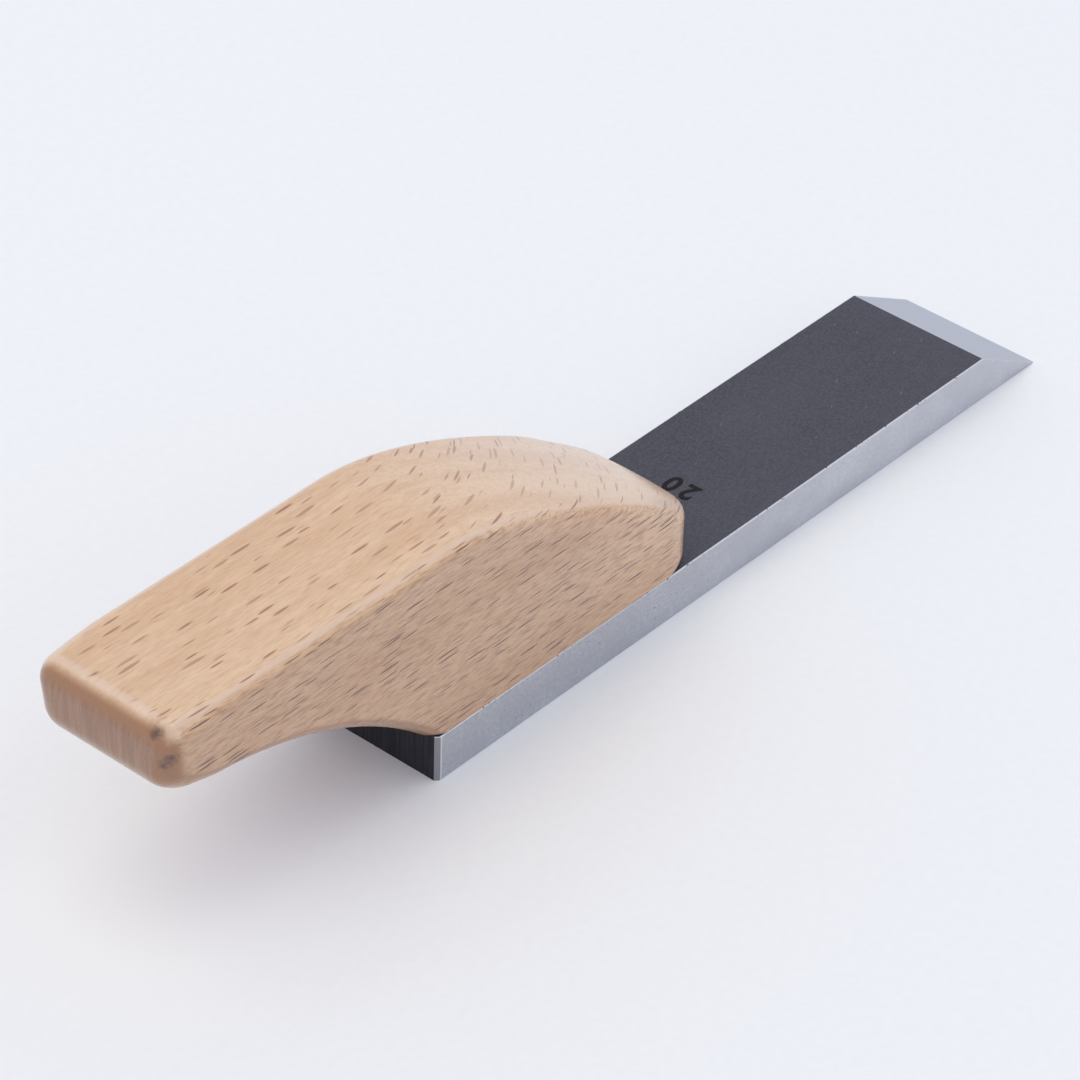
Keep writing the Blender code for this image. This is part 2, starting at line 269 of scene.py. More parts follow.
class FixingSettings(bpy.types.PropertyGroup):
    """Shape and finish of the countersunk screws and the brass inserts."""

    shank_radius: size("Shank", "Outer radius of the screw's thread", 0.0020)
    head_rim: size("Head rim", "Straight height of the screw's head", 0.0003)
    tip_chamfer: size("Tip chamfer", "Chamfer at the screw's tip", 0.0004)
    thread_pitch: size("Pitch", "Rise of the thread in one turn", 0.0007)
    thread_depth: size("Thread depth", "Depth of the thread", 0.00038)
    thread_clearance: size("Thread clearance", "Room between the screw and its insert", 0.00006)
    socket_flats: size("Socket", "Width across the hexagon's flats", 0.0025)
    socket_depth: size("Socket depth", "Depth of the hexagon socket", 0.0016)
    barb_depth: size("Barb depth", "Depth of the insert's barbs", 0.0004)
    barb_land: size("Barb land", "Flat part of each barb", 0.0005)
    zinc: colour("Zinc", "Tone of the plated screws", (0.60, 0.60, 0.58))
    brass: colour("Brass", "Tone of the inserts", (0.72, 0.50, 0.20))


class StageSettings(bpy.types.PropertyGroup):
    """Floor, light and camera."""

    floor_tone: colour("Floor", "Tone of the floor", (0.86, 0.875, 0.915))
    floor_size: size("Floor size", "Side of the square floor", 6.0)
    # Painted light: a lighter floor under the grip's rear end softens its shadow.
    painted_light_tone: colour("Lifted floor", "Tone of the floor under the grip", (0.985, 0.99, 1.0))
    painted_light_place: place("Lift place", "Middle of the lifted tone", (-0.068, -0.002, 0.0))
    painted_light_radius: size("Lift radius", "How far the lifted tone reaches", 0.026)
    surround: share("Surround light", "Strength of the light from all round", 0.925, 4.0)
    surround_tone: colour("Surround tone", "Colour of the light from all round", (0.862, 0.90, 1.0))
    backdrop: share("Backdrop", "Brightness that the camera and gloss see", 0.95)
    backdrop_tone: colour("Backdrop tone", "Colour of the surroundings", (0.97, 0.98, 1.0))
    softbox_power: share("Softbox power", "Power of the lamp overhead in watts", 2.6, 500.0)
    softbox_tone: colour("Softbox tone", "Colour of the lamp overhead", (1.0, 0.87, 0.55))
    softbox_size: size("Softbox size", "Side of the square lamp overhead", 0.8)
    softbox_place: place("Softbox place", "Middle of the lamp overhead", (-0.12, 0.1, 1.0))
    camera_target: place("Camera target", "What the camera looks at", (-0.005503, 0.000499, 0.0120))
    camera_distance: size("Camera distance", "Distance from the camera to its target", 0.5593)
    camera_heading: turn("Camera heading", "Direction of view in plan, from +X", radians(40.129))
    camera_fall: turn("Camera fall", "How far the camera looks down", radians(37.199))
    camera_roll: turn("Camera roll", "Turn of the camera about its view", radians(1.7245))
    lens: share("Lens", "Focal length in millimetres on a 36 mm frame", 165.36, 1000.0)


def start_clean():
    """Deselect everything, so that an operator acts on its own piece."""
    bpy.ops.object.select_all(action="DESELECT")


def pick(piece):
    """Make a piece the only selected and the active one."""
    start_clean()
    piece.select_set(True)
    bpy.context.view_layer.objects.active = piece


def name_new(name):
    """Name the object that an operator has just added."""
    piece = bpy.context.object
    piece.name = name
    piece.data.name = name
    return piece


def edit(piece):
    """Open a piece in edit mode with all of it selected."""
    pick(piece)
    bpy.ops.object.mode_set(mode="EDIT")
    bpy.ops.mesh.select_all(action="SELECT")


def close(piece):
    """Turn every face outwards and leave edit mode."""
    bpy.ops.mesh.select_all(action="SELECT")
    bpy.ops.mesh.normals_make_consistent(inside=False)
    bpy.ops.object.mode_set(mode="OBJECT")
    return piece


def select_edges(piece, wanted):
    """Select the edges whose two ends pass a test, and nothing else."""
    bpy.ops.mesh.select_mode(type="EDGE")
    bpy.ops.mesh.select_all(action="DESELECT")
    bm = bmesh.from_edit_mesh(piece.data)
    for edge in bm.edges:
        edge.select_set(wanted(*(vert.co for vert in edge.verts)))
    bmesh.update_edit_mesh(piece.data)


def cut(piece, cutter):
    """Cut a shape out of a piece, and remove the shape."""
    pick(piece)
    bpy.ops.object.modifier_add(type="BOOLEAN")
    modifier = piece.modifiers[-1]
    modifier.operation = "DIFFERENCE"
    modifier.solver = "EXACT"
    modifier.object = cutter
    bpy.ops.object.modifier_apply(modifier=modifier.name)
    bpy.data.objects.remove(cutter, do_unlink=True)


def paint(piece, *finishes):
    """Give a piece these materials and no others."""
    piece.data.materials.clear()
    for finish in finishes:
        piece.data.materials.append(finish)


def finish_piece(piece, nodes=(), smooth_angle=SMOOTH_ANGLE):
    """Shade a piece, hang it on the frame's root, and hide the frame's parts that it replaces."""
    pick(piece)
    bpy.ops.object.shade_smooth_by_angle(angle=smooth_angle)
    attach(piece, "root")
    if nodes:
        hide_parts(*nodes)


def turned(name, profile, axis, sides=ROUND_SIDES):
    """Turn (radius, height) points about an upright axis: a disc is extruded and resized in steps."""
    start_clean()
    radius, height = profile[0]
    bpy.ops.mesh.primitive_circle_add(
        vertices=sides, radius=radius, fill_type="NGON", location=(axis.x, axis.y, height)
    )
    piece = name_new(name)
    bpy.ops.object.transform_apply()
    edit(piece)
    for next_radius, next_height in profile[1:]:
        rise = (0.0, 0.0, next_height - height)
        bpy.ops.mesh.extrude_region_move(TRANSFORM_OT_translate={"value": rise})
        ratio = next_radius / radius
        centre = (axis.x, axis.y, next_height)
        bpy.ops.transform.resize(value=(ratio, ratio, 1.0), center_override=centre)
        radius, height = next_radius, next_height
    return close(piece)


def middle(node):
    """Return the middle of a node's box."""
    low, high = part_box(node)
    return (low + high) / 2


def smooth_step(value):
    """Ease from 0 to 1 as a value goes from 0 to 1."""
    value = min(max(value, 0.0), 1.0)
    return value * value * (3.0 - 2.0 * value)


def spread(start, end, steps):
    """Return steps + 1 even values from start to end."""
    return [start + (end - start) * index / steps for index in range(steps + 1)]


def arc(centre, radius, start, end, steps=ARC_STEPS, hollow=False):
    """Return stations (point, outward normal, bend radius) on an arc; a hollow one faces its centre."""
    stations = []
    for angle in spread(start, end, steps):
        out = (cos(angle), sin(angle))
        point = (centre[0] + radius * out[0], centre[1] + radius * out[1])
        normal = (-out[0], -out[1]) if hollow else out
        stations.append((point, normal, None if hollow else radius))
    return stations


def front_curve(handle, start, end):
    """Return stations along the sweep from the nose's top corner to the flat top."""
    away = (-cos(handle.front_slope), sin(handle.front_slope))
    pull = handle.front_pull_at_nose
    near = (start[0] + pull * away[0], start[1] + pull * away[1])
    far = (end[0] + handle.front_pull_at_crest, end[1])
    corners = list(zip(start, near, far, end))
    stations = []
    for t in spread(0.0, 1.0, CURVE_STEPS)[1:]:
        s = 1.0 - t
        shares = (s**3, 3 * s * s * t, 3 * s * t * t, t**3)
        point = tuple(sum(part * value for part, value in zip(shares, axis)) for axis in corners)
        run = tuple(s * s * (b - a) + 2 * s * t * (c - b) + t * t * (d - c) for a, b, c, d in corners)
        length = hypot(*run)
        stations.append((point, (run[1] / length, -run[0] / length), None))
    return stations


def handle_outline(handle):
    """Return the handle's side outline as stations, from the contact's rear end round by the nose."""
    arch_rise = HANDLE_HEIGHT - handle.grip_thickness
    arch_run = HANDLE_OVERHANG - handle.arch_apex_setback + handle.arch_landing
    arch_radius = (arch_run**2 + arch_rise**2) / (2 * arch_rise) - handle.arch_foot_radius
    arch_centre = (handle.arch_apex_setback - HANDLE_OVERHANG, arch_rise - arch_radius)

    foot_centre = (handle.arch_landing, handle.arch_foot_radius)
    foot_angle = atan2(foot_centre[1] - arch_centre[1], foot_centre[0] - arch_centre[0])
    heel_x = handle.rear_foot_radius - HANDLE_OVERHANG
    heel_angle = acos((heel_x - arch_centre[0]) / (arch_radius + handle.rear_foot_radius))
    heel_centre = (heel_x, arch_centre[1] + (arch_radius + handle.rear_foot_radius) * sin(heel_angle))

    nose_foot = (NOSE_REACH - handle.nose_foot_radius, handle.nose_foot_radius)
    nose_top = (NOSE_REACH - handle.nose_top_radius, handle.nose_face_height)
    rear_top = (handle.rear_top_radius - HANDLE_OVERHANG, HANDLE_HEIGHT - handle.rear_top_radius)
    crest = (handle.crest_reach, HANDLE_HEIGHT)

    square = handle.arch_landing + handle.edge_fade / 2
    contact = spread(handle.arch_landing, square, FLAT_STEPS)[1:]
    contact += spread(square, nose_foot[0], FLAT_STEPS)[1:-1]
    outline = [((x, 0.0), (0.0, -1.0), None) for x in contact]
    outline += arc(nose_foot, handle.nose_foot_radius, -pi / 2, 0.0)
    outline += arc(nose_top, handle.nose_top_radius, 0.0, pi / 2 - handle.front_slope)
    outline += front_curve(handle, outline[-1][0], crest)
    for x in spread(crest[0], rear_top[0], FLAT_STEPS)[1:-1]:
        outline.append(((x, HANDLE_HEIGHT), (0.0, 1.0), None))
    outline += arc(rear_top, handle.rear_top_radius, pi / 2, pi)
    outline += arc(heel_centre, handle.rear_foot_radius, pi, pi + heel_angle)
    outline += arc(arch_centre, arch_radius, heel_angle, foot_angle, ARCH_STEPS, hollow=True)[1:]
    outline += arc(foot_centre, handle.arch_foot_radius, pi + foot_angle, 3 * pi / 2)[1:]
    return outline


def nose_share(handle, x):
    """Return how much of the nose's shape there is at a reach, from 0 to 1 at the nose's tip."""
    return smooth_step((x - NOSE_REACH) / handle.nose_corner_run + 1.0)


def corner_setback(handle, x, y):
    """Return how far the nose's rounded corners stand back at a place across the handle."""
    radius = handle.nose_corner_radius
    past = max(abs(y) - HALF_WIDTH + radius, 0.0)
    return nose_share(handle, x) * (radius - sqrt(max(radius**2 - past**2, 0.0)))


def edge_shape(handle, point, bend):
    """Return the round-over's radius and the crown's height at a station of the outline."""
    x, height = point
    slope_share = (x - handle.crest_reach) / (NOSE_REACH - handle.nose_top_radius - handle.crest_reach)
    crown = handle.front_crown * smooth_step(slope_share)
    rear_share = smooth_step(1.0 - (x + HANDLE_OVERHANG) / handle.rear_round_run)
    radius = handle.edge_round + (handle.nose_edge_round - handle.edge_round) * nose_share(handle, x)
    radius += (handle.rear_edge_round - handle.edge_round) * rear_share
    if bend:
        radius = min(radius, bend * (1.0 - BEND_KEPT) - crown)
    fade = 1.0
    if x > handle.arch_landing + handle.edge_fade:
        fade = smooth_step(height / handle.nose_fade_height)
    elif height < handle.arch_foot_radius:
        fade = smooth_step((handle.arch_landing - x) / handle.edge_fade + 0.5)
    return radius * fade, crown * fade


def half_section(radius, crown):
    """Return (depth, half width) points from the handle's middle to just inside its flat side."""
    lean = atan2(2 * crown, HALF_WIDTH - radius)
    edge = HALF_WIDTH - radius + radius * sin(lean)
    points = []
    for turned_by in spread(0.0, pi / 2, ACROSS_STEPS)[:-1]:
        points.append((crown * sin(turned_by) ** 2, edge * sin(turned_by)))
    for angle in spread(lean, pi / 2, ROUND_OVER_STEPS):
        depth = crown + radius * (cos(lean) - cos(angle))
        points.append((depth, HALF_WIDTH - radius + radius * sin(angle)))
    points.append((points[-1][0] + HOLDING_RING, HALF_WIDTH))
    return points


def handle_rings(handle):
    """Return the handle's outline at each step across its width, from the right side to the left."""
    sections = []
    for point, normal, bend in handle_outline(handle):
        half = half_section(*edge_shape(handle, point, bend))
        across = [(depth, -width) for depth, width in reversed(half[1:])] + half
        places = []
        for depth, y in across:
            x = BLADE_REAR + point[0] - depth * normal[0] - corner_setback(handle, point[0], y)
            z = HANDLE_SEAT + point[1] - depth * normal[1]
            places.append(Vector((x, y, z)))
        sections.append(places)
    return list(zip(*sections))


def make_handle(handle):
    """Extrude the handle's outline across its width, ring by ring, and drill it for the inserts."""
    rings = handle_rings(handle)
    start_clean()
    bpy.ops.mesh.primitive_circle_add(vertices=len(rings[0]), radius=HALF_WIDTH, fill_type="NGON")
    piece = name_new("beech_handle")
    station = piece.data.attributes.new("station", "INT", "POINT")
    for index, vertex in enumerate(piece.data.vertices):
        station.data[index].value = index
        vertex.co = rings[0][index]
    edit(piece)
    for ring in rings[1:]:
        bpy.ops.mesh.extrude_region_move()
        bm = bmesh.from_edit_mesh(piece.data)
        layer = bm.verts.layers.int["station"]
        for vert in bm.verts:
            if vert.select:
                vert.co = ring[vert[layer]]
        bmesh.update_edit_mesh(piece.data)
    bpy.ops.mesh.select_all(action="SELECT")
    bpy.ops.mesh.remove_doubles(threshold=MERGE_DISTANCE)
    bpy.ops.mesh.dissolve_degenerate(threshold=MERGE_DISTANCE)
    close(piece)
    piece.data.attributes.remove(piece.data.attributes["station"])

    radius = handle.hole_radius
    roof = HANDLE_SEAT + handle.hole_depth
    tip = (radius * DRILL_TIP, roof + radius * HOLE_TIP_RISE)
    drill = [(radius, HANDLE_SEAT - CUT_MARGIN), (radius, roof), tip]
    for label in SCREW_LABELS:
        cut(piece, turned("drill", drill, middle("threaded_insert_" + label)))
    paint(piece, beech_finish(handle))
    finish_piece(piece, ["handle"])


def make_blade(blade):
    """Cut a bar to its bevel, break its edges, countersink its holes and give each face its finish."""
    start_clean()
    extent = BLADE_HIGH - BLADE_LOW
    bpy.ops.mesh.primitive_cube_add(size=1.0, location=middle("blade"), scale=extent)
    piece = name_new("steel_blade")
    bpy.ops.object.transform_apply()
    edit(piece)
    bevel_normal = Vector((sin(blade.bevel_angle), 0.0, cos(blade.bevel_angle)))
    tip = (BLADE_HIGH.x, 0.0, BLADE_LOW.z)
    bpy.ops.mesh.bisect(plane_co=tip, plane_no=bevel_normal, use_fill=True, clear_outer=True)

    def is_rear_upright(start, end):
        at_rear = max(start.x, end.x) < BLADE_REAR + MERGE_DISTANCE
        return at_rear and abs(start.y - end.y) < MERGE_DISTANCE

    def is_long(start, end):
        return abs(start.x - end.x) > blade.rear_chamfer * 2

    select_edges(piece, is_rear_upright)
    bpy.ops.mesh.bevel(offset=blade.rear_chamfer)
    select_edges(piece, is_long)
    bpy.ops.mesh.bevel(offset=blade.edge_break, segments=2)
    close(piece)

    drill = [
        (blade.mouth_radius, BLADE_LOW.z - CUT_MARGIN),
        (blade.mouth_radius, BLADE_LOW.z + blade.mouth_depth),
        (blade.bore_radius, BLADE_LOW.z + blade.mouth_depth + blade.mouth_radius - blade.bore_radius),
        (blade.bore_radius, BLADE_TOP + CUT_MARGIN),
    ]
    for label in SCREW_LABELS:
        cut(piece, turned("countersink", drill, middle("handle_screw_" + label)))

    paint(piece, ground_finish(blade), oxide_finish(blade))
    for face in piece.data.polygons:
        is_dark = face.normal.z > SQUARE_ON or face.normal.x < -SQUARE_ON
        face.material_index = 1 if is_dark else 0
    finish_piece(piece, ["blade"], CRISP_ANGLE)


def make_size_mark(blade):
    """Write the blade's width in front of the handle, to be read from the cutting edge."""
    start_clean()
    bpy.ops.object.text_add(rotation=(0.0, 0.0, pi / 2))
    text = bpy.context.object.data
    text.body = blade.mark
    text.size = blade.mark_height
    text.space_character = blade.mark_spacing
    text.extrude = blade.mark_film
    text.offset = blade.mark_weight
    bpy.ops.object.convert(target="MESH")
    piece = name_new("size_mark")
    bpy.ops.object.transform_apply()
    axes = list(zip(*(vertex.co for vertex in piece.data.vertices)))
    low = Vector(map(min, axes))
    high = Vector(map(max, axes))
    ratio = (blade.mark_height / (high.x - low.x), blade.mark_width / (high.y - low.y), 1.0)
    target = Vector((HANDLE_HIGH.x + blade.mark_reach, 0.0, BLADE_TOP))
    edit(piece)
    bpy.ops.transform.translate(value=target - (low + high) / 2)
    bpy.ops.transform.resize(value=ratio, center_override=target)
    bpy.ops.mesh.remove_doubles(threshold=MERGE_DISTANCE)
    close(piece)
    paint(piece, mark_finish(blade))
    finish_piece(piece)


def threaded_profile(fixing, radius, low, high):
    """Return a straight profile with enough rings to carry the thread."""
    steps = round((high - low) / fixing.thread_pitch * THREAD_RINGS)
    return [(radius, height) for height in spread(low, high, steps)]


def wind_thread(fixing, piece, radius, low, high, axis):
    """Sink a helical thread into the straight part of a turned piece."""
    for vertex in piece.data.vertices:
        out = Vector((vertex.co.x - axis.x, vertex.co.y - axis.y))
        if abs(out.length - radius) > MERGE_DISTANCE or not low <= vertex.co.z <= high:
            continue
        rise = vertex.co.z / fixing.thread_pitch - atan2(out.y, out.x) / (2 * pi)
        wave = abs(2.0 * (rise % 1.0) - 1.0)
        ease = smooth_step((vertex.co.z - low) / fixing.thread_pitch)
        ease *= smooth_step((high - vertex.co.z) / fixing.thread_pitch)
        out *= 1.0 - fixing.thread_depth * wave * ease / radius
        vertex.co.x = axis.x + out.x
        vertex.co.y = axis.y + out.y


def make_screws(fixing):
    """Turn the countersunk screws, wind their threads and cut their hexagon sockets."""
    zinc = zinc_finish(fixing)
    for label in SCREW_LABELS:
        node = "handle_screw_" + label
        low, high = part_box(node)
        axis = middle(node)
        head_radius = (high.x - low.x) / 2
        shank = fixing.shank_radius
        neck = low.z + fixing.head_rim + head_radius - shank
        shoulder = high.z - fixing.tip_chamfer
        profile = [(head_radius, low.z), (head_radius, low.z + fixing.head_rim)]
        profile += threaded_profile(fixing, shank, neck, shoulder)
        profile.append((shank - fixing.tip_chamfer, high.z))
        piece = turned(node + "_dressed", profile, axis)
        wind_thread(fixing, piece, shank, neck, shoulder, axis)
        corner = fixing.socket_flats / sqrt(3.0)
        floor = low.z + fixing.socket_depth
        tip = (corner * DRILL_TIP, floor + corner * SOCKET_TIP_RISE)
        socket = [(corner, low.z - CUT_MARGIN), (corner, floor), tip]
        cut(piece, turned("socket", socket, axis, sides=6))
        paint(piece, zinc)
        finish_piece(piece, [node])


def make_inserts(fixing):
    """Turn the barbed inserts and tap them with the screws' thread."""
    brass = brass_finish(fixing)
    for label in SCREW_LABELS:
        node = "threaded_insert_" + label
        low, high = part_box(node)
        axis = middle(node)
        radius = (high.x - low.x) / 2
        pitch = (high.z - low.z) / BARBS
        profile = []
        for index in range(BARBS):
            floor = low.z + index * pitch
            profile += [(radius, floor), (radius, floor + fixing.barb_land)]
            profile.append((radius - fixing.barb_depth, floor + pitch))
        piece = turned(node + "_dressed", profile, axis)
        bore = fixing.shank_radius + fixing.thread_clearance
        tap_low = low.z - CUT_MARGIN
        tap_high = high.z + CUT_MARGIN
        tap = turned("tap", threaded_profile(fixing, bore, tap_low, tap_high), axis)
        wind_thread(fixing, tap, bore, tap_low, tap_high, axis)
        cut(piece, tap)
        paint(piece, brass)
        finish_piece(piece, [node])


def solid(tone):
    """Return a plain colour with full opacity, and a linked one as it is."""
    return tone if isinstance(tone, bpy.types.NodeSocket) else (*tone, 1.0)


def weighted(tone, weight):
    """Return a colour with its parts multiplied by a weight."""
    return tuple(weight * part for part in tone)


class Nodes:
    """A node tree, with short ways to add its nodes."""

    def __init__(self, owner):
        owner.use_nodes = True
        self.tree = owner.node_tree

    def put(self, kind, sockets=None, **settings):
        """Add a node, set its settings, and set or link its sockets."""
        node = self.tree.nodes.new("ShaderNode" + kind)
        for name, value in settings.items():
            setattr(node, name, value)
        for name, value in (sockets or {}).items():
            self.feed(node.inputs[name], value)
        return node

    def feed(self, socket, value):
        """Link a socket to another, or set its value."""
        if isinstance(value, bpy.types.NodeSocket):
            self.tree.links.new(value, socket)
        else:
            socket.default_value = value

    def math(self, operation, first, second=0.0):
        """Return one Math node's result."""
        return self.put("Math", {0: first, 1: second}, operation=operation).outputs[0]

    def times(self, first, *others):
        """Return the product of several values."""
        for other in others:
            first = self.math("MULTIPLY", first, other)
        return first

    def ease(self, value, low, high, start=0.0, end=1.0):
        """Return a value eased from start to end as another goes from low to high."""
        sockets = {"Value": value, "From Min": low, "From Max": high, "To Min": start, "To Max": end}
        return self.put("MapRange", sockets, interpolation_type="SMOOTHSTEP").outputs["Result"]

    def mix(self, amount, first, second, blend="MIX"):
        """Return a mix of two colours, each plain or linked."""
        sockets = {0: amount, 6: solid(first), 7: solid(second)}
        return self.put("Mix", sockets, data_type="RGBA", blend_type=blend).outputs[2]


class Finish(Nodes):
    """A material's nodes: a shader fed from the object's own coordinates."""

    def __init__(self, name):
        self.material = bpy.data.materials.new(name)
        super().__init__(self.material)
        self.shader = self.tree.nodes["Principled BSDF"]
        source = self.put("TexCoord")
        self.place = source.outputs["Object"]
        self.normal = source.outputs["Normal"]

    def set(self, **values):
        """Set or link the shader's sockets, with underscores for spaces."""
        for name, value in values.items():
            socket = name.replace("_", " ").title().replace("Ior", "IOR")
            self.feed(self.shader.inputs[socket], value)

    def parts(self, vector):
        """Return a vector's x, y and z."""
        return self.put("SeparateXYZ", {0: vector}).outputs

    def facing(self):
        """Return how far the surface faces forward, to either side and upward."""
        forward, leftward, upward = self.parts(self.normal)
        return forward, self.math("ABSOLUTE", leftward), upward

    def rotated(self, vector, angles):
        """Return a place turned about the object's origin."""
        return self.put("Mapping", {"Vector": vector, "Rotation": angles}).outputs[0]

    def scaled(self, vector, cell):
        """Return a place in units of a cell, whose sizes are in metres."""
        scale = [1.0 / length for length in cell]
        return self.put("Mapping", {"Vector": vector, "Scale": scale}).outputs[0]

    def noise(self, cell, detail=2.0, rough=0.5, at=None):
        """Return noise from 0 to 1, with one swell for each cell."""
        vector = self.scaled(at or self.place, cell)
        sockets = {"Vector": vector, "Scale": 1.0, "Detail": detail, "Roughness": rough}
        return self.put("TexNoise", sockets).outputs[0]

    def vector(self, operation, first, second=(0.0, 0.0, 0.0)):
        """Return one Vector Math node."""
        return self.put("VectorMath", {0: first, 1: second}, operation=operation)

    def distance(self, point, centre, half):
        """Return how far a point is from a centre, in units of an ellipsoid's half sizes."""
        offset = self.vector("SUBTRACT", point, centre).outputs[0]
        stretched = self.vector("MULTIPLY", offset, [1.0 / length for length in half]).outputs[0]
        return self.vector("LENGTH", stretched).outputs["Value"]

    def spots(self, vector, cell, half, kept, core, least):
        """Return scattered spots from 0 to 1: a share is kept, each with a full core and a least size."""
        point = self.scaled(vector, cell)
        cells = self.put("TexVoronoi", {"Vector": point, "Scale": 1.0, "Randomness": 1.0})
        shares = [reach / length for reach, length in zip(half, cell)]
        distance = self.distance(point, cells.outputs["Position"], shares)
        luck = self.put("SeparateColor", {0: cells.outputs["Color"]}).outputs
        reach = self.math("DIVIDE", distance, self.ease(luck[0], 0.0, 1.0, least, LARGEST_SPOT))
        there = self.math("GREATER_THAN", luck[1], 1.0 - kept)
        depth = self.ease(luck[2], 0.0, 1.0, FAINTEST_SPOT, 1.0)
        return self.times(self.ease(reach, 1.0, core), there, depth)

    def relief(self, height, distance):
        """Raise the surface by a height of this distance in metres."""
        bump = self.put("Bump", {"Height": height, "Distance": distance, "Strength": 1.0})
        self.set(normal=bump.outputs[0])


def grain_place(wood, handle):
    """Return places in the wood, turned with its rays and swaying a little."""
    tilted = wood.rotated(wood.place, (handle.ray_tilt, 0.0, 0.0))
    sway = wood.put("TexNoise", {"Vector": wood.scaled(tilted, GRAIN_SWAY), "Scale": 1.0})
    wander = wood.vector("MULTIPLY", sway.outputs["Color"], GRAIN_WANDER).outputs[0]
    return wood.vector("ADD", tilted, wander).outputs[0]


def lit_sides(wood, handle):
    """Return where painted light lifts the sides: round the nose's corner and under the front ridge."""
    nose_corner = (HANDLE_HIGH.x, 0.0, HANDLE_SEAT + handle.nose_face_height)
    near_nose = wood.ease(wood.distance(wood.place, nose_corner, NOSE_LIGHT), 1.0, 0.25)
    reach, _, height = wood.parts(wood.place)
    crest = BLADE_REAR + handle.crest_reach
    fall = (HANDLE_HEIGHT - handle.nose_face_height) / (HANDLE_HIGH.x - crest) ** 2
    past_crest = wood.math("SUBTRACT", reach, crest)
    ridge_drop = wood.times(past_crest, past_crest, fall)
    below = wood.math("SUBTRACT", wood.math("SUBTRACT", HANDLE_HIGH.z, height), ridge_drop)
    shoulder = wood.times(wood.ease(below, *SHOULDER_DEPTH), wood.ease(past_crest, *SHOULDER_RUN))
    return wood.math("MAXIMUM", near_nose, shoulder)


def edge_highlight(wood, rearward, sideward, upward):
    """Return the painted highlight on the rounded upper edges."""
    rear = wood.times(wood.ease(rearward, 0.05, 0.25), wood.ease(rearward, 0.6, 0.4))
    side = wood.times(wood.ease(sideward, 0.15, 0.4), wood.ease(sideward, 0.75, 0.55))
    return wood.times(wood.math("MAXIMUM", rear, side), wood.ease(upward, 0.3, 0.6, 0.0, 0.45))


def darker_ends_and_corners(wood, forward, rearward, sideward, upright):
    """Return where the ends and rear corners are darker: cut end grain, and partly painted shade."""
    bend = wood.times(wood.math("ABSOLUTE", forward), sideward, 2.0)
    corner = wood.times(wood.ease(bend, 0.15, 0.9), wood.ease(forward, -0.1, 0.1, 1.0, 0.1), upright)
    ends = wood.math("MAXIMUM", wood.ease(rearward, 0.45, 0.8), wood.ease(forward, 0.94, 0.995))
    return wood.math("MAXIMUM", ends, corner)


def dark_spots(wood, handle, tone):
    """Return the wood's tone with its ragged dark spots, each in a wider stain."""
    blots = wood.times(wood.noise(STAIN_BLOTS), 2.0)
    for reach, strength, stain in ((4.1, 0.6, handle.soaked_and_shade), (2.5, 0.95, handle.blemish)):
        for centre, radius in BLEMISHES:
            distance = wood.distance(wood.place, centre, (radius, radius, radius))
            ragged = wood.math("ADD", distance, blots)
            tone = wood.mix(wood.ease(ragged, reach, reach / 3, 0.0, strength), tone, stain)
    return tone


